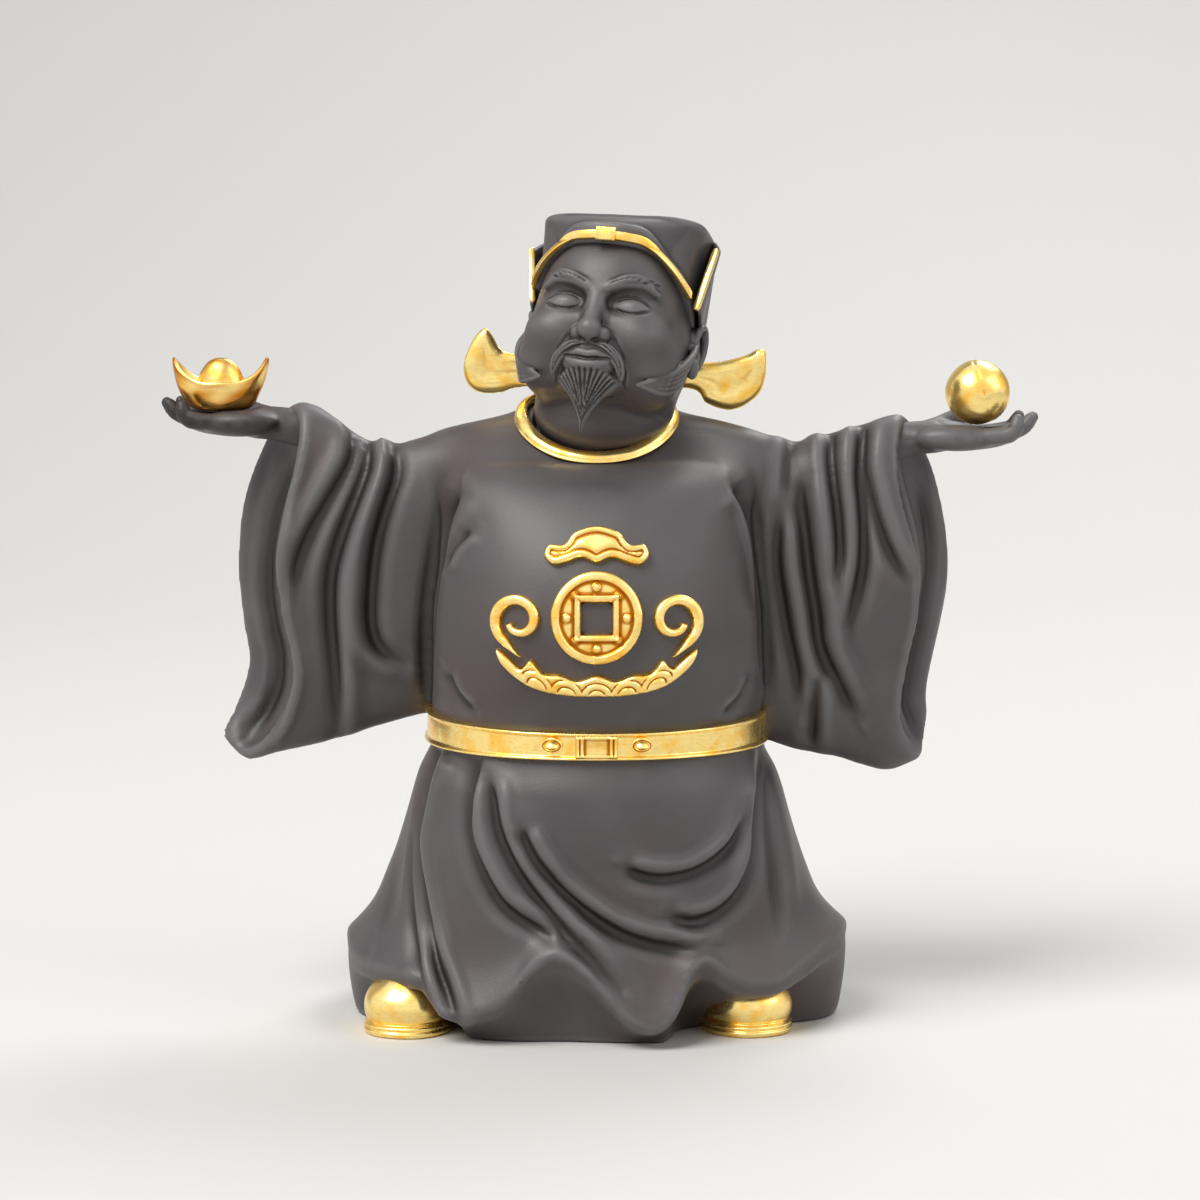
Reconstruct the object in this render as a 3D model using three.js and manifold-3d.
// A tea pet: a fired clay figure of a god of wealth in a wide-sleeved robe, arms held out, with a
// gold ingot on one palm and a gold ball on the other. Right and left are the figure's own; it
// faces -Y, +Z is up, and it stands on z = 0. Sizes are in millimetres, angles in degrees.
import * as THREE from "three";
import { mergeVertices } from "three/addons/utils/BufferGeometryUtils.js";
import Module from "manifold-3d";

const wasm = await Module();
wasm.setup();

// Gap that luted pieces keep to each other.
const clearance = 0.3;

// Robe: a slip-cast shell, open underneath. Each section lies `rise` above the one before it and
// has its half width, its depth to the front and to the back, and its share of the collar's tilt.
const robeAxisX = -0.6;
const robeWall = 3.4;
const robeSquareness = 2.25;
const footTuck = 3.2;
const wallBulge = 1;
const hemLip = 0.8;
const robeSections = {
  hem: { rise: 10.5, side: 48.2, front: 35.6, back: 36.9, tilt: 0 },
  shin: { rise: 8.5, side: 42.6, front: 33.2, back: 33.6, tilt: 0 },
  knee: { rise: 8, side: 39.6, front: 32.6, back: 30.2, tilt: 0 },
  thigh: { rise: 10, side: 36.4, front: 33.8, back: 28.2, tilt: 0 },
  hip: { rise: 9, side: 33.6, front: 33.4, back: 26.6, tilt: 0 },
  underBelt: { rise: 5.2, side: 31.2, front: 31.4, back: 25.2, tilt: 0 },
  belt: { rise: 4, side: 30.5, front: 30.5, back: 24.8, tilt: 0 },
  overBelt: { rise: 4.6, side: 31.1, front: 31.9, back: 25.0, tilt: 0 },
  paunch: { rise: 6.4, side: 31.9, front: 34.0, back: 25.4, tilt: 0 },
  belly: { rise: 10.6, side: 32.1, front: 35.0, back: 25.4, tilt: 0 },
  ribs: { rise: 9, side: 31.1, front: 33.0, back: 24.8, tilt: 0.04 },
  chest: { rise: 9, side: 30.3, front: 28.8, back: 23.4, tilt: 0.16 },
  shoulder: { rise: 8.6, side: 29.4, front: 22.6, back: 20.4, tilt: 0.42 },
  yoke: { rise: 5.2, side: 23.6, front: 16.8, back: 15.0, tilt: 0.74 },
  collar: { rise: 3.8, side: 14.0, front: 12.0, back: 10.8, tilt: 1 },
};

// Collar and neck hole: the collar's plane drops to the front and rises to the back.
const collarDropFront = 7.4;
const collarRiseBack = 2.6;
const collarRadius = 1.3;
const neckLipWidth = 2.2;
const neckLipDepth = 3.4;
const neckRadius = 7.9;
const neckLength = 19;
const neckSetback = 0.6;

// Hem: angle round the robe, height of the ridge over its mean, how far the ridge stands out,
// and how far the wall below it is drawn in at the floor. 0 is the left side, 90 the front.
const hemLine = [
  [0, 6.4, -0.9, -2.2],
  [16, 7.4, -0.8, -0.6],
  [32, 3.6, -0.6, 6.5],
  [47, 0.2, -0.4, 11.5],
  [59, 2.0, -1.4, 11.5],
  [68, 4.4, -1.2, 6.5],
  [74, -1.5, 1.2, 1.6],
  [81, -7.4, 1.6, 0.4],
  [88, -5.6, 1.4, 0.4],
  [95, 2.2, 0.2, 0.8],
  [101, 5.6, -0.6, 0.9],
  [108, 3.2, -0.2, 1.4],
  [116, -4.2, 1.0, 2.4],
  [124, -5.0, 1.2, 4.6],
  [131, -1.6, 0.4, 7.8],
  [138, 2.2, -0.8, 9.5],
  [152, 4.0, -0.6, 6.5],
  [166, 6.8, -0.8, -0.6],
  [180, 6.6, -0.9, -2.2],
  [200, 1.5, 0.4, 0],
  [216, -4.4, 0.8, 0.6],
  [234, 3.6, -0.8, 1.6],
  [254, -4.0, 1.0, 0.6],
  [272, 4.2, -1.0, 1.6],
  [292, -3.4, 1.0, 0.6],
  [310, 3.4, -0.8, 1.4],
  [330, -3.6, 0.8, 0.6],
  [346, 2.6, 0, 0],
];

// Sleeves: tubes that open downward and outward, with a mouth round the wrist.
const sleeveBelowYoke = 1;
const armReach = 58;
const sleeveHalfDepthTop = 10.2;
const sleeveHalfDepthFoot = 6.4;
const sleeveStart = 12;
const sleeveAxisY = 1.2;
const mouthWall = 2.4;
const mouthDepth = 12;

// Hands, ingot and ball.
const rightHandLength = 23.4;
const leftHandLength = 24.6;
const rightWristRise = 3.6;
const leftWristRise = 0.9;
const wristInset = 7;
const wristRadius = 3.4;
const palmHalfWidth = 7.2;
const palmHalfThickness = 2.2;
const fingerLength = 7.4;
const fingerRadius = 1.6;
const thumbRadius = 1.9;
const treasureSink = 0.5;
const ingotLength = 18;
const ingotWidth = 10.4;
const ingotHeight = 10;
const ballRadius = 6.1;
const ingotOutward = 12;
const ballOutward = 13;
const treasureForward = 0.6;

// Head, in its own frame: turned a little to its right and tilted back on the neck.
const headAboveCollar = 16;
const headX = 2.4;
const headY = -3.2;
const headTurn = 12;
const headLean = 4.5;
const headPitch = 18;
const headHalfWidth = 15.8;
const headHalfDepth = 16.8;
const chinDrop = 16.4;
const crownRise = 17.5;
const napeHollow = 0.3;
const earHalfHeight = 4.5;
const earDrop = 1.2;
const beardLength = 10;
const beardHalfWidth = 7.2;

// Hat: a cap with a low brow tier in front, and a flap that stands up round its sides and back.
const hatThickness = 1.2;
const hatRise = 19.8;
const hatTopHalfWidth = 14.2;
const hatTopHalfDepth = 11.2;
const browHeight = 12.4;
const templeHeight = 4;
const napeHeight = -3.6;
const browTierHeight = 3.8;
const ledgeDepth = 2;
const bandWidth = 1.9;
const bandThickness = 0.7;
const flapStart = 80;
const flapTop = 15.4;
const flapLean = -0.7;
const flapThickness = 1.4;
const trimThickness = 0.8;
const plateHalfAngle = 7;
const plateHeight = 3.2;
const wingThickness = 2.8;
const wingSetback = 11;

// Belt and chest relief.
const beltHalfHeightSide = 3.2;
const beltHalfHeightFront = 2.5;
const beltThickness = 1.1;
const beltDropFront = 0.3;
const buckleHalfWidth = 3.8;
const buckleThickness = 0.8;
const studRadius = 1.5;
const studSpacing = 15.6;
const reliefThickness = 1.3;
const coinRadius = 8.2;
const coinHoleWidth = 5.2;
const reliefGap = 1.2;
const cloudRadius = 4.6;

// Shoes.
const shoeHalfWidth = 8.4;
const shoeHeight = 11.2;
const shoeToe = 27.5;
const soleHeight = 2.2;
const soleRim = 0.8;
const rightShoeX = -31.5;
const leftShoeX = 21;
const rightShoeTurn = -12;
const leftShoeTurn = 22;

const clay = { color: 0x3a3536, roughness: 0.62, metalness: 0 };
const gold = { color: 0xd9a22e, roughness: 0.34, metalness: 0.85 };

const figure = new THREE.Group();

function toRadians(angle) {
  return (angle * Math.PI) / 180;
}

function mix(a, b, share) {
  return a + (b - a) * share;
}

// Smooth curve through rows of numbers, read at any value of the first column.
function follow(rows, value, column, period = 0) {
  const count = rows.length;
  const row = (i) => {
    if (!period) return rows[Math.min(Math.max(i, 0), count - 1)];
    const turns = Math.floor(i / count);
    const found = rows[i - turns * count];
    return [found[0] + turns * period, ...found.slice(1)];
  };
  let at = 0;
  while (at < count - (period ? 1 : 2) && row(at + 1)[0] < value) at += 1;
  const [before, from, to, after] = [row(at - 1), row(at), row(at + 1), row(at + 2)];
  const share = Math.min(Math.max((value - from[0]) / (to[0] - from[0]), 0), 1);
  const slope = (a, b) => (b[column] - a[column]) / Math.max(b[0] - a[0], 1e-6);
  const span = to[0] - from[0];
  const cube = share ** 3;
  const square = share ** 2;
  return (
    (2 * cube - 3 * square + 1) * from[column] +
    (cube - 2 * square + share) * slope(before, to) * span +
    (3 * square - 2 * cube) * to[column] +
    (cube - square) * slope(from, after) * span
  );
}

// Closed solid through rings of points. A plain loft is capped at both ends, a ring loft joins its
// last ring to its first.
function loft(rings, joined = false) {
  const sides = rings[0].length;
  const positions = rings.flat().flatMap((p) => [p.x, p.y, p.z]);
  const index = [];
  const last = joined ? rings.length : rings.length - 1;
  for (let r = 0; r < last; r += 1) {
    const lower = r * sides;
    const upper = ((r + 1) % rings.length) * sides;
    for (let s = 0; s < sides; s += 1) {
      const next = (s + 1) % sides;
      index.push(lower + s, lower + next, upper + next);
      index.push(lower + s, upper + next, upper + s);
    }
  }
  if (!joined) {
    for (const [ring, flip] of [[rings[0], true], [rings[rings.length - 1], false]]) {
      const middle = ring.reduce((sum, p) => sum.add(p), new THREE.Vector3());
      middle.divideScalar(sides);
      const centre = positions.length / 3;
      positions.push(middle.x, middle.y, middle.z);
      const start = flip ? 0 : (rings.length - 1) * sides;
      for (let s = 0; s < sides; s += 1) {
        const next = (s + 1) % sides;
        if (flip) index.push(centre, start + next, start + s);
        else index.push(centre, start + s, start + next);
      }
    }
  }
  const geometry = new THREE.BufferGeometry();
  geometry.setAttribute("position", new THREE.Float32BufferAttribute(positions, 3));
  geometry.setIndex(index);
  return geometry;
}

// Six times the volume inside a geometry: below nought where its faces point in.
function signedVolume(geometry) {
  const place = geometry.attributes.position;
  const [a, b, c] = [new THREE.Vector3(), new THREE.Vector3(), new THREE.Vector3()];
  let sum = 0;
  for (let i = 0; i < geometry.index.count; i += 3) {
    a.fromBufferAttribute(place, geometry.index.getX(i));
    b.fromBufferAttribute(place, geometry.index.getX(i + 1));
    c.fromBufferAttribute(place, geometry.index.getX(i + 2));
    sum += a.dot(b.cross(c));
  }
  return sum;
}

// Solid for joining and cutting, with every face turned outward and, if asked, its skin moved out.
function solid(source, grow = 0) {
  const bare = source.clone();
  for (const name of ["normal", "uv"]) bare.deleteAttribute(name);
  const geometry = mergeVertices(bare, 1e-4);
  if (signedVolume(geometry) < 0) {
    const order = geometry.index.array;
    for (let i = 0; i < order.length; i += 3) [order[i], order[i + 1]] = [order[i + 1], order[i]];
  }
  const place = geometry.attributes.position;
  if (grow) {
    geometry.computeVertexNormals();
    const normal = geometry.attributes.normal;
    for (let i = 0; i < place.count; i += 1) {
      place.setXYZ(
        i,
        place.getX(i) + grow * normal.getX(i),
        place.getY(i) + grow * normal.getY(i),
        place.getZ(i) + grow * normal.getZ(i),
      );
    }
  }
  return new wasm.Manifold(
    new wasm.Mesh({
      numProp: 3,
      vertProperties: new Float32Array(place.array),
      triVerts: new Uint32Array(geometry.index.array),
    }),
  );
}

function geometryOf(body) {
  const mesh = body.getMesh();
  const geometry = new THREE.BufferGeometry();
  geometry.setAttribute("position", new THREE.BufferAttribute(mesh.vertProperties.slice(), 3));
  geometry.setIndex(new THREE.BufferAttribute(mesh.triVerts.slice(), 1));
  geometry.computeVertexNormals();
  return geometry;
}

// The largest body of a cut piece: slivers that a cut leaves beside it are dropped.
function whole(body) {
  return body.decompose().reduce((most, one) => (one.volume() > most.volume() ? one : most));
}

function addPiece(name, body, finish) {
  const mesh = new THREE.Mesh(geometryOf(whole(body)), new THREE.MeshStandardMaterial(finish));
  mesh.name = name;
  figure.add(mesh);
}

// Fold lines seen from the front: a groove along each line, with a ridge beside it.
function foldRise(folds, x, z) {
  let rise = 0;
  for (const { line, depth, width, ridge } of folds) {
    let near = Infinity;
    let side = 0;
    let along = 0;
    for (let i = 0; i + 1 < line.length; i += 1) {
      const [ax, az] = line[i];
      const [bx, bz] = line[i + 1];
      const length = Math.hypot(bx - ax, bz - az);
      const share = ((x - ax) * (bx - ax) + (z - az) * (bz - az)) / length ** 2;
      const held = Math.min(Math.max(share, 0), 1);
      const away = Math.hypot(x - mix(ax, bx, held), z - mix(az, bz, held));
      if (away < near) {
        near = away;
        side = Math.sign((bx - ax) * (z - az) - (bz - az) * (x - ax));
        along = (i + held) / (line.length - 1);
      }
    }
    const fade = Math.min(1, 4 * along, 4 * (1 - along) + 0.25);
    const groove = Math.exp(-((near / width) ** 2));
    const bank = Math.exp(-(((side * near) / width - 1.7) ** 2) / 1.4);
    rise += fade * (ridge * bank - depth * groove);
  }
  return rise;
}

// Signed power, for rounded-square sections.
function squared(value, squareness) {
  return Math.sign(value) * Math.abs(value) ** (2 / squareness);
}

// Heights of the robe's sections, each over the one before it.
const heights = {};
Object.entries(robeSections).reduce((height, [name, section]) => {
  heights[name] = height + section.rise;
  return heights[name];
}, 0);
const robeRows = Object.entries(robeSections).map(([name, section]) => [
  heights[name],
  section.side,
  section.front,
  section.back,
  section.tilt,
]);

// Height change that the collar's tilt gives at an angle round the neck.
function collarTilt(angle) {
  const front = Math.sin(angle);
  const even = (collarDropFront + collarRiseBack) / 2;
  const bowed = (collarDropFront - collarRiseBack) / 2;
  return -even * front - bowed * front ** 2;
}

const skirtFolds = [
  {
    line: [[-31.4, 48], [-33, 43], [-34.2, 35], [-33, 26], [-31, 17], [-27, 7]],
    depth: 1.7, width: 1.9, ridge: 1.0,
  },
  {
    line: [[-23, 48], [-24.2, 41], [-22.6, 34], [-18, 26], [-11, 20]],
    depth: 1.5, width: 2.0, ridge: -0.7,
  },
  {
    line: [[-19, 43], [-16.5, 35], [-10, 26], [-2, 18.5], [5, 13]],
    depth: 1.3, width: 2.1, ridge: -0.8,
  },
  {
    line: [[-13, 37], [-8.6, 30.5], [-2, 25.4], [7, 21.6], [17, 21]],
    depth: 1.5, width: 2.1, ridge: -0.9,
  },
  {
    line: [[5, 33.6], [14, 32.2], [21, 35], [26, 42]],
    depth: 1.6, width: 2.0, ridge: -1.0,
  },
  {
    line: [[13, 23.4], [20, 23], [26, 28], [29, 38], [30, 48]],
    depth: 1.4, width: 2.0, ridge: -0.8,
  },
  {
    line: [[33, 46], [34, 36], [35.5, 26], [38, 18]],
    depth: 1.1, width: 2.2, ridge: 0.5,
  },
];
const backFolds = [
  {
    line: [[-24, 48], [-27, 38], [-31, 26], [-35, 14]],
    depth: 1.4, width: 2.6, ridge: 0.8,
  },
  {
    line: [[-8, 48], [-10, 36], [-14, 24], [-17, 12]],
    depth: 1.5, width: 2.6, ridge: 0.8,
  },
  {
    line: [[10, 47], [12, 36], [16, 22], [19, 11]],
    depth: 1.5, width: 2.6, ridge: -0.8,
  },
  {
    line: [[25, 48], [28, 38], [32, 25], [36, 15]],
    depth: 1.3, width: 2.6, ridge: -0.8,
  },
];

// Point of the robe's outer skin, `up` being a section's height at the robe's sides.
function robePoint(angle, up, grow = 0) {
  const turn = (angle * 180) / Math.PI;
  const ridge = heights.hem + follow(hemLine, turn, 1, 360);
  const reach = follow(hemLine, turn, 2, 360);
  const skirt = Math.min(Math.max((heights.belt - up) / (heights.belt - heights.hem), 0), 1);
  const side = follow(robeRows, up, 1) + reach * skirt ** 3;
  const front = follow(robeRows, up, 2) + reach * skirt ** 3;
  const back = follow(robeRows, up, 3) + reach * skirt ** 3;
  const tilt = follow(robeRows, up, 4);
  const height = mix(up, ridge + (up - heights.hem) * 0.8, skirt ** 2) + tilt * collarTilt(angle);
  const toFront = Math.sin(angle) > 0;
  const x = robeAxisX + side * squared(Math.cos(angle), robeSquareness);
  const y = -(toFront ? front : back) * squared(Math.sin(angle), robeSquareness);
  const point = new THREE.Vector3(x, y, height);
  const outward = new THREE.Vector3(Math.cos(angle) / side, -Math.sin(angle) / front, 0).normalize();
  const facing = Math.abs(Math.sin(angle)) ** 0.5;
  const rise = facing * foldRise(toFront ? skirtFolds : backFolds, x, height);
  return point.addScaledVector(outward, grow + rise);
}

// Ring of the skirt below the hem's ridge: share 0 is the floor, 1 the ridge.
function footPoint(angle, share, inward = 0) {
  const turn = (angle * 180) / Math.PI;
  const ridge = robePoint(angle, heights.hem);
  const tuck = footTuck + follow(hemLine, turn, 3, 360);
  const away = Math.hypot(ridge.x - robeAxisX, ridge.y);
  const curl = Math.min(1, share / 0.82);
  const bulge = wallBulge * 4 * share * (1 - share) * Math.abs(Math.cos(angle));
  const drawn = tuck * (1 - curl ** 2.2) - bulge + inward;
  const scale = (away - drawn) / away;
  return new THREE.Vector3(
    mix(robeAxisX, ridge.x, scale),
    ridge.y * scale,
    Math.max(0, (ridge.z - hemLip) * share),
  );
}

const robeSides = 72;
const robeAngles = Array.from({ length: robeSides }, (_, i) => (i * 2 * Math.PI) / robeSides);
function ringOf(place) {
  return robeAngles.map(place);
}
const robeLevels = robeRows.flatMap(([height], i) => {
  const next = robeRows[i + 1];
  return next && next[0] - height > 7.5 ? [height, mix(height, next[0], 0.5)] : [height];
});

// Point on the edge of the neck: `inward` from the collar line and `down` from it.
function neckPoint(angle, inward, down) {
  const edge = robePoint(angle, heights.collar);
  const away = Math.hypot(edge.x - robeAxisX, edge.y);
  const scale = (away - inward) / away;
  return new THREE.Vector3(mix(robeAxisX, edge.x, scale), edge.y * scale, edge.z - down);
}

// Round hole that the neck goes through.
function neckHolePoint(angle, radius, height) {
  return new THREE.Vector3(
    robeAxisX + radius * Math.cos(angle),
    -neckSetback - radius * Math.sin(angle),
    height,
  );
}

function robeOutside(grow = 0) {
  const rings = [
    ...[0, 0.3, 0.62, 0.86].map((share) => ringOf((angle) => footPoint(angle, share))),
    ...robeLevels.map((up) => ringOf((angle) => robePoint(angle, up))),
    ringOf((angle) => neckPoint(angle, neckLipWidth * 0.6, 0.2)),
  ];
  return solid(loft(rings), grow);
}

function robeShell() {
  const holeTop = heights.collar - collarDropFront - neckLipDepth + 1.2;
  const holeRadius = neckRadius + clearance;
  const inner = (up) => ringOf((angle) => {
    const outside = robePoint(angle, up, -robeWall);
    return new THREE.Vector3(outside.x, outside.y, outside.z - (up > heights.chest ? robeWall : 0));
  });
  const rings = [
    ...[0, 0.3, 0.62, 0.86].map((share) => ringOf((angle) => footPoint(angle, share))),
    ...robeLevels.map((up) => ringOf((angle) => robePoint(angle, up))),
    ringOf((angle) => neckPoint(angle, neckLipWidth * 0.6, 0.2)),
    ringOf((angle) => neckPoint(angle, neckLipWidth, neckLipDepth * 0.6)),
    ringOf((angle) => neckHolePoint(angle, holeRadius, holeTop)),
    ringOf((angle) => neckHolePoint(angle, holeRadius, holeTop - robeWall)),
    inner(heights.shoulder - robeWall),
    inner(heights.ribs),
    inner(heights.belt),
    inner(heights.knee),
    ringOf((angle) => footPoint(angle, 0.5, robeWall)),
    ringOf((angle) => footPoint(angle, 0, robeWall)),
  ];
  return solid(loft(rings, true));
}

const robeGrown = robeOutside(clearance);

// Sleeve outlines. `top` and `foot` rows are [outward past the wrist, up from the shoulder line];
// rim rows are [share of the way up the mouth, outward past the wrist].
const sleeves = {
  right: {
    side: -1,
    top: [
      [-46, -1], [-38, 1.6], [-30, 1.8], [-24, 0.2], [-19, -0.4], [-15, 0.6], [-10, 3.4],
      [-6, 6.4], [-1, 7.4], [3, 6.2], [14, -4],
    ],
    foot: [
      [-46, -50], [-28, -51], [-16, -54], [-7, -56.8], [2, -58.8], [8, -60.2], [14, -58],
    ],
    frontRim: [
      [0, 9], [0.06, 3], [0.16, -1], [0.28, -2], [0.4, -0.6], [0.6, 0.4], [0.78, -1.6],
      [0.92, -3.2], [1, -2],
    ],
    backRim: [
      [0, 10.5], [0.04, 13.4], [0.14, 11.2], [0.28, 8.4], [0.42, 9.4], [0.6, 10.2], [0.8, 8.8],
      [0.93, 4], [1, -1],
    ],
    folds: [
      {
        line: [[-46.5, 112], [-46, 105], [-50, 97], [-55, 88], [-57, 78]],
        depth: 1.4, width: 2.0, ridge: 0.8,
      },
      {
        line: [[-42.7, 109], [-43.4, 102], [-47, 92], [-49.6, 82], [-49.6, 68], [-49.2, 54]],
        depth: 1.5, width: 2.0, ridge: 0.8,
      },
      {
        line: [[-39, 107], [-38.4, 101], [-41.4, 90], [-43, 78], [-41.6, 70], [-36.6, 66]],
        depth: 1.3, width: 2.0, ridge: 0.7,
      },
      {
        line: [[-27, 99], [-30, 90], [-32.4, 78], [-33.4, 64]],
        depth: 1.0, width: 2.0, ridge: -0.5,
      },
    ],
  },
  left: {
    side: 1,
    top: [
      [-46, -1], [-38, 2], [-30, 1.8], [-24, 0.6], [-20, 0], [-14, 1.8], [-8, 3.2], [-3, 4.8],
      [1, 4.6], [14, -8],
    ],
    foot: [
      [-46, -54], [-27, -56.2], [-20, -58.4], [-13, -59.6], [-8, -61.2], [-3, -62.2],
      [2, -60.4], [8, -58.6],
    ],
    frontRim: [
      [0, 3.6], [0.08, 0.2], [0.18, -1.8], [0.3, -0.8], [0.45, 1.2], [0.6, 1], [0.78, -2],
      [0.9, -2.8], [1, -1],
    ],
    backRim: [
      [0, 4.4], [0.1, 4.4], [0.22, 4.6], [0.4, 7], [0.55, 8.4], [0.75, 7.6], [0.9, 5.4],
      [1, 0],
    ],
    folds: [
      {
        line: [[42.8, 110], [42.6, 104], [44, 92], [43.8, 82]],
        depth: 1.4, width: 2.0, ridge: -0.7,
      },
      {
        line: [[48.6, 111], [48, 102], [48.6, 90], [46.6, 75]],
        depth: 1.5, width: 2.0, ridge: -0.7,
      },
      {
        line: [[49.4, 106], [51, 95], [56, 84]],
        depth: 0.9, width: 1.8, ridge: 0.4,
      },
      {
        line: [[36.6, 102], [38.4, 90], [40.4, 76], [43, 66], [47, 58]],
        depth: 1.4, width: 2.0, ridge: 0.7,
      },
      {
        line: [[33, 92], [33.4, 84], [35.4, 72], [37.2, 60]],
        depth: 1.1, width: 2.0, ridge: 0.5,
      },
    ],
  },
};
const shoulderHeight = heights.yoke - sleeveBelowYoke;
const sleeveSides = 26;
const sleeveSteps = 20;

function sleevePoint(sleeve, phase, reach, inset) {
  const raised = (1 + Math.cos(phase)) / 2;
  const toFront = (1 + Math.sin(phase)) / 2;
  const facing = toFront ** 2 * (3 - 2 * toFront);
  const rim = mix(follow(sleeve.backRim, raised, 1), follow(sleeve.frontRim, raised, 1), facing);
  const past = mix(sleeveStart - armReach, rim, reach);
  const top = shoulderHeight + follow(sleeve.top, past, 1) - inset;
  const foot = shoulderHeight + follow(sleeve.foot, past, 1) + inset;
  const halfDepth = mix(sleeveHalfDepthFoot, sleeveHalfDepthTop, raised ** 0.6) - inset;
  const height = mix(foot, top, raised);
  const x = robeAxisX + sleeve.side * (armReach + past);
  const depth = halfDepth * squared(Math.sin(phase), 2.6);
  const rise = inset ? 0 : Math.abs(Math.sin(phase)) * foldRise(sleeve.folds, x, height);
  return new THREE.Vector3(x, sleeveAxisY - depth - Math.sign(Math.sin(phase)) * rise, height);
}

function sleeveLoft(sleeve) {
  const phases = Array.from({ length: sleeveSides }, (_, i) => (i * 2 * Math.PI) / sleeveSides);
  const ring = (reach, inset) => phases.map((phase) => sleevePoint(sleeve, phase, reach, inset));
  const mouthShare = 1 / (armReach - sleeveStart);
  const rings = [];
  for (let step = 0; step <= sleeveSteps; step += 1) rings.push(ring(step / sleeveSteps, 0));
  rings.push(ring(1 + 0.5 * mouthShare, mouthWall * 0.5));
  rings.push(ring(1 - 0.8 * mouthShare, mouthWall));
  rings.push(ring(1 - mouthDepth * 0.55 * mouthShare, mouthWall));
  rings.push(ring(1 - mouthDepth * mouthShare, mouthWall + 1.4));
  return loft(rings);
}

// Tapered rod along a smooth path: `radii` are [share of the path, radius] and `flat` widens it.
function rod(points, radii, sides, steps, flat = 1) {
  const path = new THREE.CatmullRomCurve3(points.map((point) => new THREE.Vector3(...point)));
  const rings = [];
  for (let step = 0; step <= steps; step += 1) {
    const share = step / steps;
    const along = path.getTangent(share);
    const across = new THREE.Vector3(0, 1, 0);
    if (Math.abs(along.y) > 0.8) across.set(1, 0, 0);
    across.addScaledVector(along, -along.dot(across)).normalize();
    const up = new THREE.Vector3().crossVectors(along, across);
    const radius = follow(radii, share, 1);
    const ring = [];
    for (let side = 0; side < sides; side += 1) {
      const phase = (side * 2 * Math.PI) / sides;
      const point = path.getPoint(share);
      point.addScaledVector(across, flat * radius * Math.cos(phase));
      point.addScaledVector(up, radius * Math.sin(phase));
      ring.push(point);
    }
    rings.push(ring);
  }
  return loft(rings);
}

// Stack of level ovals: rows are [height, half width, half depth, shift to the back].
function ovals(rows, sides, squareness = 2) {
  return loft(rows.map(([height, width, depth, shift = 0]) => {
    const ring = [];
    for (let side = 0; side < sides; side += 1) {
      const phase = (side * 2 * Math.PI) / sides;
      const x = width * squared(Math.cos(phase), squareness);
      const y = shift + depth * squared(Math.sin(phase), squareness);
      ring.push(new THREE.Vector3(x, y, height));
    }
    return ring;
  }));
}

function moved(geometry, ...matrices) {
  const copy = geometry.clone();
  for (const matrix of matrices) copy.applyMatrix4(matrix);
  return copy;
}

function shift(x, y, z) {
  return new THREE.Matrix4().makeTranslation(x, y, z);
}

function union(bodies) {
  return bodies.reduce((sum, body) => sum.add(body));
}

// Radii of a finger from its root to its rounded tip.
function tipped(radius) {
  return [[0, radius], [0.5, radius], [0.85, radius * 0.85], [1, radius * 0.4]];
}

// Hand with its palm up, pointing outward from the wrist; the thumb is at the back.
function handBodies(length) {
  const palmEnd = length - fingerLength;
  const palm = [
    [-wristInset, wristRadius * 0.8, wristRadius * 0.7, -wristInset * 0.36],
    [-2, wristRadius, wristRadius * 0.96, -0.3],
    [palmEnd * 0.22, palmHalfWidth * 0.72, palmHalfThickness * 1.3, 0],
    [palmEnd * 0.5, palmHalfWidth * 0.97, palmHalfThickness * 1.12, 0.2],
    [palmEnd * 0.82, palmHalfWidth, palmHalfThickness, 0.4],
    [palmEnd, palmHalfWidth * 0.86, palmHalfThickness * 0.7, 0.8],
  ];
  const rings = palm.map(([x, halfWidth, halfThickness, height]) => {
    const ring = [];
    for (let side = 0; side < 14; side += 1) {
      const phase = (side * 2 * Math.PI) / 14;
      const y = halfWidth * Math.cos(phase);
      ring.push(new THREE.Vector3(x, y, height + halfThickness * Math.sin(phase)));
    }
    return ring;
  });
  const bodies = [loft(rings)];
  const spread = (palmHalfWidth - fingerRadius) / 1.5;
  const tips = [-3.6, -0.9, 0, -2.2];
  for (let finger = 0; finger < 4; finger += 1) {
    const y = (finger - 1.5) * spread;
    const tip = length + tips[finger];
    const path = [
      [palmEnd - 4, y * 0.92, 0.4],
      [palmEnd + 1, y, 0.8],
      [mix(palmEnd, tip, 0.6), y * 1.06, 1.5],
      [tip, y * 1.02, 3.2],
    ];
    bodies.push(rod(path, tipped(fingerRadius), 8, 7));
  }
  const thumb = [
    [3, palmHalfWidth - 3.8, 0.4], [7, palmHalfWidth + 0.2, 1.6],
    [10.5, palmHalfWidth + 2, 3.4], [13.2, palmHalfWidth + 2, 5],
  ];
  bodies.push(rod(thumb, tipped(thumbRadius), 8, 7));
  return bodies;
}

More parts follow.
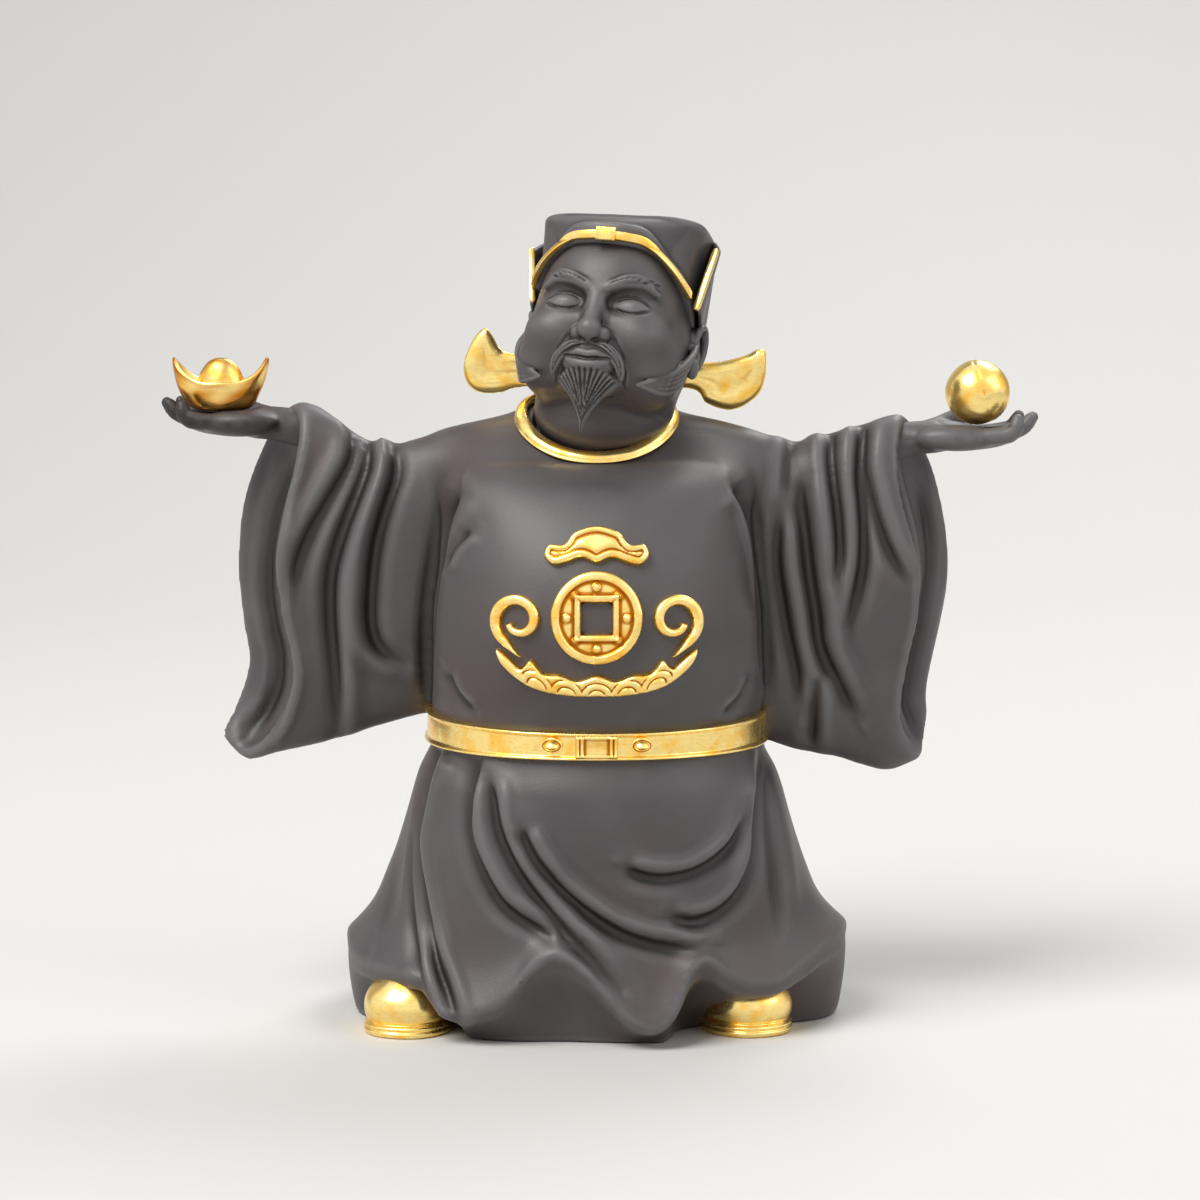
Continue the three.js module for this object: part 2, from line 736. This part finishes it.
// Boat-shaped ingot standing on z = 0, horns along X.
function ingotLoft() {
  const half = ingotLength / 2;
  const wide = ingotWidth / 2;
  const rows = [
    [0.5, 0.56, 0, 0],
    [0.74, 0.84, 0.16, 0.05],
    [0.92, 0.98, 0.34, 0.22],
    [1, 0.94, 0.48, 0.42],
    [0.94, 0.84, 0.5, 0.4],
    [0.6, 0.64, 0.44, 0.04],
    [0.44, 0.6, 0.66, 0],
    [0.3, 0.44, 0.88, 0],
    [0.13, 0.2, 0.98, 0],
  ];
  return loft(rows.map(([length, width, height, horn]) => {
    const ring = [];
    for (let side = 0; side < 24; side += 1) {
      const phase = (side * 2 * Math.PI) / 24;
      const x = half * length * squared(Math.cos(phase), 2);
      const lift = height + horn * Math.cos(phase) ** 4;
      ring.push(new THREE.Vector3(x, wide * width * Math.sin(phase), ingotHeight * lift));
    }
    return ring;
  }));
}

// Head frame: X to the figure's left, -Y out of the face, Z to the crown.
const headZ = heights.collar + headAboveCollar;
const headFrame = new THREE.Matrix4()
  .multiply(shift(headX, headY, headZ))
  .multiply(new THREE.Matrix4().makeRotationZ(toRadians(-headTurn)))
  .multiply(new THREE.Matrix4().makeRotationX(toRadians(-headPitch)))
  .multiply(new THREE.Matrix4().makeRotationY(toRadians(headLean)));

// Half width and half depth of the skull, as shares, from the chin to the crown.
const skullRows = [
  [-1, 0.3, 0.4],
  [-0.93, 0.55, 0.62],
  [-0.78, 0.79, 0.8],
  [-0.5, 0.95, 0.93],
  [-0.15, 1, 0.99],
  [0.25, 0.98, 1],
  [0.6, 0.87, 0.91],
  [0.88, 0.62, 0.66],
  [1, 0.3, 0.34],
];

function bump(value, middle, spread) {
  return Math.exp(-(((value - middle) / spread) ** 2));
}

// Height of the face over the plain skull: brows, closed eyes, nose, cheeks and lips.
function faceRelief(across, height) {
  const eye = Math.abs(across) - 6;
  const nose = [[-7.2, 0], [-5.6, 2.6], [-4.4, 3.2], [-2, 2.3], [1, 1.3], [4, 0.7], [7, 0]];
  return (
    follow(nose, height, 1) * bump(across, 0, 2.1) +
    1.1 * bump(Math.abs(across), 2.5, 1.3) * bump(height, -4.9, 1.4) -
    1.4 * bump(eye, 0, 3) * bump(height, 1, 2) +
    0.9 * bump(eye, 0, 2.4) * bump(height, 0.6, 1) +
    0.6 * bump(eye, 0, 3.6) * bump(height, 4.6, 1) +
    0.8 * bump(Math.abs(across), 8.4, 3.6) * bump(height, -3.4, 3.2) +
    0.9 * bump(across, 0, 3.4) * bump(height, -9, 0.8) -
    0.6 * bump(across, 0, 3.8) * bump(height, -10, 0.5) +
    0.8 * bump(across, 0, 2.8) * bump(height, -10.9, 0.8)
  );
}

function skullPoint(angle, height, grow = 0) {
  const share = height > 0 ? height / crownRise : height / chinDrop;
  const width = headHalfWidth * follow(skullRows, share, 1);
  const nape = Math.min(Math.max((-2 - height) / 9, 0), 1) * Math.max(-Math.cos(angle), 0);
  const depth = headHalfDepth * follow(skullRows, share, 2) * (1 - napeHollow * nape);
  const x = width * squared(Math.sin(angle), 2.2);
  const y = -depth * squared(Math.cos(angle), 2.2);
  const facing = Math.max(Math.cos(angle), 0);
  const rise = grow + facing * faceRelief(x, height);
  const away = Math.hypot(x, y);
  return new THREE.Vector3(x + (x / away) * rise, y + (y / away) * rise, height);
}

function skullLoft(sides, step, grow = 0) {
  const levels = [-chinDrop, -15.6, -14.4];
  for (let height = -13; height < 9; height += step) levels.push(height);
  levels.push(10.5, 13, 15.5, crownRise);
  return loft(levels.map((height) => {
    const ring = [];
    for (let side = 0; side < sides; side += 1) {
      const even = (side * 2 * Math.PI) / sides;
      ring.push(skullPoint(even - 0.5 * Math.sin(even), height, grow));
    }
    return ring;
  }));
}

function earLoft(side) {
  const ear = new THREE.SphereGeometry(1, 12, 8).scale(1.7, 2.9, earHalfHeight).rotateX(0.25);
  return ear.translate(side * headHalfWidth, 2.4, -earDrop);
}

function headBodies() {
  const beardRows = [
    [-9.6, 0.86, 2.2, -12.8],
    [-12.2, 0.94, 2.9, -12.9],
    [-15, 0.7, 2.7, -13.2],
    [-17.8, 0.42, 2.1, -13.2],
    [-20.2, 0.2, 1.2, -12.9],
    [-21.6, 0.06, 0.4, -12.6],
  ].map(([height, width, depth, shiftY]) => [
    -9.6 + ((height + 9.6) * beardLength) / 10,
    width * beardHalfWidth,
    depth,
    shiftY,
  ]).reverse();
  const bodies = [solid(moved(skullLoft(38, 1.25), headFrame))];
  bodies.push(solid(moved(ovals(beardRows, 14), headFrame)));
  for (const side of [-1, 1]) {
    bodies.push(solid(moved(earLoft(side), headFrame)));
    const whisker = [
      [side * 0.7, -16.6, -6.6],
      [side * 3.4, -16.2, -7.2],
      [side * 5.8, -14.6, -9.6],
      [side * 6.4, -13.6, -12],
    ];
    const whiskerRadii = [[0, 0.8], [0.4, 1.1], [0.8, 0.8], [1, 0.3]];
    bodies.push(solid(moved(rod(whisker, whiskerRadii, 8, 7), headFrame)));
  }
  return bodies;
}

function neckBody(grow = 0) {
  const low = heights.collar - neckLength;
  const rows = [[low, neckRadius, neckRadius], [headZ - 5, neckRadius, neckRadius]];
  return solid(moved(ovals(rows, 24), shift(robeAxisX, -neckSetback, 0)), grow);
}

// Hat in the head's frame: lower edge from the brow over the temples to the nape.
function hatEdge(angle) {
  const front = Math.cos(angle);
  const middle = (browHeight + napeHeight) / 2;
  const even = (browHeight - napeHeight) / 2;
  return middle + even * front + (templeHeight - middle) * (1 - front ** 2);
}

function hatTopPoint(angle, share, inset) {
  const x = (hatTopHalfWidth - inset) * squared(Math.sin(angle), 3);
  const y = 1.5 - (hatTopHalfDepth - inset) * squared(Math.cos(angle), 3);
  return new THREE.Vector3(x, y, share);
}

function hatSkin(angle, rise, over) {
  const height = hatEdge(angle) + rise;
  const flare = 0.3 * Math.min(rise / (browTierHeight * 0.5), 1);
  const point = skullPoint(angle, Math.min(height, browHeight), hatThickness + flare + over);
  point.z = height;
  return point;
}

function hatLoft() {
  const sides = 40;
  const ring = (place) => {
    const points = [];
    for (let side = 0; side < sides; side += 1) points.push(place((side * 2 * Math.PI) / sides));
    return points;
  };
  const front = (angle) => Math.max(Math.cos(angle), 0) ** 2;
  const ledge = (angle) => hatSkin(angle, browTierHeight + 0.5, -ledgeDepth * front(angle));
  const rings = [
    ring((angle) => hatSkin(angle, 0, -3 - hatThickness)),
    ring((angle) => hatSkin(angle, 0, 0)),
    ring((angle) => hatSkin(angle, browTierHeight * 0.5, 0)),
    ring((angle) => hatSkin(angle, browTierHeight, 0)),
    ring(ledge),
  ];
  for (const share of [0.3, 0.65, 1]) {
    rings.push(ring((angle) => {
      const foot = ledge(angle);
      const point = foot.clone().lerp(hatTopPoint(angle, hatRise - 1, 0), share ** 1.5);
      point.z = mix(foot.z, hatRise - 1, share);
      return point;
    }));
  }
  rings.push(ring((angle) => hatTopPoint(angle, hatRise - 0.3, 0.8)));
  rings.push(ring((angle) => hatTopPoint(angle, hatRise, 2.4)));
  return loft(rings);
}

// Point of the flap: `lift` is the share of its height and `over` the depth over its inner face.
function flapPoint(angle, lift, over) {
  const foot = hatSkin(angle, 0.3, clearance + over);
  const away = Math.hypot(foot.x, foot.y);
  const skins = [0.3, 0.5 * browTierHeight, browTierHeight, 2 * browTierHeight]
    .map((rise) => hatSkin(angle, rise, clearance + over));
  const widest = Math.max(...skins.map((skin) => Math.hypot(skin.x, skin.y)));
  const lean = (widest + flapLean * lift) / away;
  return new THREE.Vector3(foot.x * lean, foot.y * lean, mix(foot.z, flapTop, lift));
}

function flapLoft() {
  const rings = [];
  for (let angle = flapStart; angle <= 360 - flapStart; angle += 10) {
    const turn = toRadians(angle);
    rings.push([
      flapPoint(turn, 0, 0), flapPoint(turn, 0.5, 0), flapPoint(turn, 0.96, 0),
      flapPoint(turn, 1, flapThickness / 2),
      flapPoint(turn, 0.96, flapThickness), flapPoint(turn, 0.5, flapThickness),
      flapPoint(turn, 0, flapThickness),
    ]);
  }
  return loft(rings);
}

// Gold edge along a front end of the flap.
function trimLoft(side) {
  const end = side * toRadians(flapStart);
  const ahead = new THREE.Vector3(-side * Math.cos(end), -Math.abs(Math.sin(end)), 0);
  const rings = [0, 0.35, 0.7, 1].map((lift) => {
    const corner = (over, forward) => flapPoint(end, lift, over).addScaledVector(ahead, forward);
    return [
      corner(0, clearance), corner(flapThickness, clearance),
      corner(flapThickness, clearance + trimThickness), corner(0, clearance + trimThickness),
    ];
  });
  return loft(rings);
}

// Solid that stands across a skin along a path of [angle, low, high], to cut a strip out of it.
function stripLoft(path, inner, outer) {
  return loft(path.map(([angle, low, high]) => {
    const corner = (radius, height) => new THREE.Vector3(
      radius * Math.sin(angle),
      -radius * Math.cos(angle),
      height,
    );
    return [corner(inner, low), corner(outer, low), corner(outer, high), corner(inner, high)];
  }));
}

// Layer of a skin between two depths over it, inside a cutter.
function layer(geometry, cutter, thickness, over = clearance) {
  return solid(geometry, over + thickness).intersect(cutter).subtract(solid(geometry, over));
}

// Collar: a half-round rim that sits over the edge of the neck.
function collarLoft() {
  return loft(robeAngles.filter((_, i) => i % 2 === 0).map((angle) => {
    const outside = robePoint(angle, heights.collar - collarRadius * 0.9, clearance);
    const edge = neckPoint(angle, -clearance, -clearance);
    const inside = neckPoint(angle, neckLipWidth * 0.6 + 0.2, 0.2 - clearance);
    const crown = neckPoint(angle, 0.4, -clearance - collarRadius);
    const outerOver = clearance + collarRadius * 0.8;
    const shoulder = robePoint(angle, heights.collar - collarRadius * 0.5, outerOver);
    const brink = neckPoint(angle, neckLipWidth * 0.55, -clearance - collarRadius * 0.6);
    return [outside, edge, inside, brink, crown, shoulder];
  }), true);
}

// Band round the waist between two depths over the robe, lower where the paunch hangs over it.
function beltLoft(under, over, margin = 0) {
  return loft(robeAngles.filter((_, i) => i % 2 === 0).map((angle) => {
    const front = Math.max(Math.sin(angle), 0);
    const half = mix(beltHalfHeightSide, beltHalfHeightFront, front) + margin;
    const middle = heights.belt - beltDropFront * front;
    const highs = [middle - half, middle, middle + half];
    const inside = highs.map((up) => robePoint(angle, up, under));
    const outside = highs.map((up, i) => robePoint(angle, up, over + (i === 1 ? 0.3 : 0)));
    return [...inside, ...outside.reverse()];
  }), true);
}

// Flat outline pushed along Y from in front of the robe to inside it.
function frontPrism(shape) {
  const inside = robeSections.belly.front * 0.25;
  const depth = robeSections.belly.front * 1.25 - inside;
  const geometry = new THREE.ExtrudeGeometry(shape, { depth, bevelEnabled: false, curveSegments: 6 });
  return geometry.rotateX(Math.PI / 2).translate(robeAxisX, -inside, 0);
}

function outline(points, bend = 0.5) {
  const curve = new THREE.CatmullRomCurve3(
    points.map(([x, y]) => new THREE.Vector3(x, y, 0)), true, "catmullrom", bend,
  );
  return new THREE.Shape(curve.getPoints(points.length * 2).map((p) => new THREE.Vector2(p.x, p.y)));
}

// Scroll of cloud: a curl of band that thins toward its eye, with a tail.
function cloudShape(side, middleX, middleZ) {
  const outer = [];
  const inner = [];
  for (let step = 0; step <= 22; step += 1) {
    const share = step / 22;
    const phase = toRadians(-60 + 400 * share);
    const radius = cloudRadius * mix(1, 0.33, share ** 0.9);
    const half = mix(0.9, 1.15, Math.sin(Math.PI * share));
    const place = (r) => new THREE.Vector2(
      middleX + side * r * Math.cos(phase),
      middleZ + r * Math.sin(phase),
    );
    outer.push(place(radius + half));
    inner.push(place(radius - half * (1 - 0.5 * share)));
  }
  const tail = new THREE.Vector2(middleX - side * 0.6, middleZ - 7);
  return new THREE.Shape([...outer, ...inner.reverse(), tail]);
}

const coinHeight = mix(heights.paunch, heights.belly, 1.16);
function coinShape() {
  const shape = new THREE.Shape();
  shape.absarc(0, coinHeight, coinRadius, 0, 2 * Math.PI);
  const half = coinHoleWidth / 2;
  const hole = new THREE.Path();
  hole.moveTo(-half, coinHeight - half).lineTo(-half, coinHeight + half);
  hole.lineTo(half, coinHeight + half).lineTo(half, coinHeight - half);
  shape.holes.push(hole);
  return shape;
}

const ruyiHeight = coinHeight + coinRadius + reliefGap;
const ruyiShape = outline([
  [0, 0], [2.6, 0.9], [5, 0.2], [7.6, -0.4], [9.4, 1.2], [8.4, 3.2], [5.8, 3.2],
  [4, 5.2], [0, 6.3], [-4, 5.2], [-5.8, 3.2], [-8.4, 3.2], [-9.4, 1.2], [-7.6, -0.4],
  [-5, 0.2], [-2.6, 0.9],
].map(([x, z]) => [x, z + ruyiHeight]));
const waveHeight = coinHeight - coinRadius - reliefGap;
const waveShape = outline([
  [0, -4.6], [6, -4.4], [12, -3], [16.6, 0.6], [17.8, 3.6], [16, 2.6], [13.4, 0.4],
  [11.6, 2], [9.4, -0.4], [6.4, -0.6], [3.4, -1.6], [0, -0.6], [-3.4, -1.6], [-6.4, -0.6],
  [-9.4, -0.4], [-11.6, 2], [-13.4, 0.4], [-16, 2.6], [-17.8, 3.6], [-16.6, 0.6],
  [-12, -3], [-6, -4.4],
].map(([x, z]) => [x, z + waveHeight]));

// Comma-shaped hat wing, drawn for the left side and mirrored for the right.
function wingLoft(side, outlinePoints) {
  const shape = outline(outlinePoints.map(([past, z]) => [side * (headHalfWidth + past), z]));
  const bevel = wingThickness * 0.35;
  const geometry = new THREE.ExtrudeGeometry(shape, {
    depth: wingThickness - 2 * bevel,
    bevelThickness: bevel,
    bevelSize: bevel * 0.8,
    bevelOffset: -bevel * 0.8,
    bevelSegments: 2,
    curveSegments: 2,
  });
  return geometry.rotateX(Math.PI / 2).translate(headX, headY + wingSetback, headZ);
}

// Shoe: a round toe on a sole with a small rim, running back under the hem.
function shoeBodies(middle, turn) {
  const section = (halfWidth, toe, heel, squareness) => {
    const ring = [];
    for (let side = 0; side < 22; side += 1) {
      const phase = (side * 2 * Math.PI) / 22;
      ring.push([
        halfWidth * squared(Math.cos(phase), squareness),
        mix(heel, -toe, (1 + squared(Math.sin(phase), squareness)) / 2),
      ]);
    }
    return ring;
  };
  const stack = (rows) => loft(rows.map(([height, inset, squareness]) => {
    const toe = shoeToe - inset;
    return section(shoeHalfWidth - inset * 0.8, toe, -6, squareness)
      .map(([x, y]) => new THREE.Vector3(x, y, height));
  }));
  const upper = stack([
    [soleHeight * 0.5, soleRim, 2.3],
    [soleHeight + 2.4, soleRim * 0.9, 2.3],
    [soleHeight + 5, soleRim + 0.9, 2.2],
    [shoeHeight - 1.6, soleRim + 3, 2.1],
    [shoeHeight - 0.3, soleRim + 5.8, 2],
    [shoeHeight, soleRim + 7.4, 2],
  ]);
  const sole = stack([
    [0, 0.5, 2.4],
    [0.5, 0, 2.4],
    [soleHeight - 0.4, 0, 2.4],
    [soleHeight, 0.5, 2.4],
  ]);
  const place = new THREE.Matrix4().makeRotationZ(toRadians(turn));
  return [upper, sole].map((body) => solid(moved(body, place, shift(middle, 0, 0))));
}

// Pieces, from the robe outward; each one is cut clear of what it is luted to.
addPiece("robe_body", robeShell(), clay);

const beltZone = solid(beltLoft(-1, 2 * clearance + beltThickness, clearance));
addPiece("belt_band", solid(beltLoft(clearance, clearance + beltThickness)), gold);

const headRaw = union(headBodies()).add(neckBody());
const hatRaw = hatLoft();
const headGrown = union([
  solid(moved(skullLoft(26, 2.1, 0.3), headFrame), clearance),
  ...[-1, 1].map((side) => solid(moved(earLoft(side), headFrame), clearance)),
  neckBody(clearance),
]);
const hatGrown = solid(moved(hatRaw, headFrame), clearance);
addPiece("head", headRaw, clay);
addPiece("hat_cap", solid(moved(hatRaw, headFrame)).subtract(headGrown), clay);
addPiece("collar_ring", solid(collarLoft()), gold);

const bandRings = [];
const bandEnd = toRadians(flapStart) - (3 * clearance + trimThickness) / headHalfWidth;
for (let step = -9; step <= 9; step += 1) {
  const turn = (bandEnd * step) / 9;
  const point = (rise, over) => hatSkin(turn, rise, over);
  const outer = clearance + bandThickness;
  bandRings.push([
    point(0.1, clearance), point(bandWidth, clearance),
    point(bandWidth, outer - 0.2), point(bandWidth * 0.5, outer), point(0.1, outer - 0.2),
  ]);
}
addPiece("hat_band", solid(moved(loft(bandRings), headFrame)), gold);

const hatWorld = moved(hatRaw, headFrame);
const plateLow = browHeight - 0.3;
const platePath = [-plateHalfAngle, plateHalfAngle].map((angle) => [
  toRadians(angle), plateLow, plateLow + plateHeight,
]);
const plateStrip = stripLoft(platePath, headHalfDepth * 0.5, headHalfDepth * 1.5);
const plateCutter = solid(moved(plateStrip, headFrame));
const plateOver = 2 * clearance + bandThickness;
addPiece("hat_plate", layer(hatWorld, plateCutter, bandThickness, plateOver), gold);

const flapRaw = moved(flapLoft(), headFrame);
addPiece("hat_flap", solid(flapRaw).subtract(hatGrown), clay);
for (const side of [-1, 1]) {
  addPiece("hat_trim_" + (side < 0 ? "right" : "left"), solid(moved(trimLoft(side), headFrame)), gold);
}

const flapGrown = solid(flapRaw, clearance);
// Wing outlines: [outward past the side of the head, up from the head's middle].
const wingOutlines = {
  right: [
    [-10, -10.4], [1.7, -11.2], [5.4, -12.2], [9.6, -12.1], [11.9, -9.9], [12.1, -6.1],
    [10.3, -2], [8.2, 0], [6.8, -1.4], [5.4, -3.7], [2.8, -4.8], [-10, -5.8],
  ],
  left: [
    [-10, -10.6], [-0.7, -11.6], [1.8, -14.2], [6.3, -15.5], [10.1, -14], [12.6, -10.8],
    [13, -4.9], [11.5, -4], [9.1, -5.2], [4.4, -6.3], [-0.3, -6.5], [-10, -6],
  ],
};
for (const [name, side] of [["right", -1], ["left", 1]]) {
  const wing = solid(wingLoft(side, wingOutlines[name]));
  addPiece("wing_" + name, wing.subtract(headGrown).subtract(flapGrown).subtract(hatGrown), gold);
}

const buckle = new THREE.Shape();
const buckleFoot = heights.belt - beltDropFront - beltHalfHeightFront - 0.1;
const buckleTop = heights.belt - beltDropFront + beltHalfHeightFront + 0.1;
buckle.moveTo(-buckleHalfWidth, buckleFoot);
buckle.lineTo(buckleHalfWidth, buckleFoot);
buckle.lineTo(buckleHalfWidth, buckleTop);
buckle.lineTo(-buckleHalfWidth, buckleTop);
const buckleOver = 2 * clearance + beltThickness;
addPiece(
  "belt_buckle",
  robeOutside(buckleOver + buckleThickness)
    .intersect(solid(frontPrism(buckle)))
    .subtract(robeOutside(buckleOver)),
  gold,
);
for (const [name, side] of [["right", -1], ["left", 1]]) {
  const stud = new THREE.SphereGeometry(studRadius, 16, 10);
  const angle = Math.acos((side * studSpacing) / 2 / robeSections.belt.side);
  const surface = robePoint(angle, heights.belt);
  stud.translate(robeAxisX + (side * studSpacing) / 2, surface.y - beltThickness - 0.5, heights.belt);
  addPiece("belt_stud_" + name, solid(stud).subtract(robeOutside(buckleOver)), gold);
}

const cloudX = coinRadius + cloudRadius + 1;
const reliefOutside = robeOutside(clearance + reliefThickness);
const relief = {
  coin: coinShape(),
  ruyi_head: ruyiShape,
  cloud_right: cloudShape(-1, -cloudX, coinHeight - 0.5),
  cloud_left: cloudShape(1, cloudX, coinHeight - 0.5),
  wave_base: waveShape,
};
for (const [name, shape] of Object.entries(relief)) {
  addPiece(name, reliefOutside.intersect(solid(frontPrism(shape))).subtract(robeGrown), gold);
}

const shoes = [["right", rightShoeX, rightShoeTurn], ["left", leftShoeX, leftShoeTurn]];
for (const [name, middle, turn] of shoes) {
  addPiece("shoe_" + name, union(shoeBodies(middle, turn)).subtract(robeGrown), gold);
}

const wristRise = { right: rightWristRise, left: leftWristRise };
const handLength = { right: rightHandLength, left: leftHandLength };
const ball = new THREE.SphereGeometry(ballRadius, 20, 12).translate(0, 0, ballRadius);
const treasures = {
  right: { name: "gold_ingot", geometry: ingotLoft(), outward: ingotOutward },
  left: { name: "treasure_ball", geometry: ball, outward: ballOutward },
};
for (const name of ["right", "left"]) {
  const sleeve = sleeves[name];
  const place = (geometry) => {
    const mirrored = geometry.clone();
    if (sleeve.side < 0) mirrored.applyMatrix4(new THREE.Matrix4().makeScale(-1, 1, 1));
    const x = robeAxisX + sleeve.side * armReach;
    return mirrored.translate(x, sleeveAxisY, shoulderHeight + wristRise[name]);
  };
  const treasure = treasures[name];
  const palmTop = palmHalfThickness + 0.4 - treasureSink;
  treasure.geometry.translate(treasure.outward, -treasureForward, palmTop);
  const treasureBody = place(treasure.geometry);
  addPiece(treasure.name, solid(treasureBody), gold);
  const parts = handBodies(handLength[name]).map(place);
  const hand = union(parts.map((part) => solid(part)));
  addPiece("hand_" + name, hand.subtract(solid(treasureBody, clearance)), clay);
  const socket = solid(parts[0], 1.5 * clearance);
  const drape = solid(sleeveLoft(sleeve));
  addPiece("sleeve_" + name, drape.subtract(robeGrown).subtract(beltZone).subtract(socket), clay);
}

export default figure;
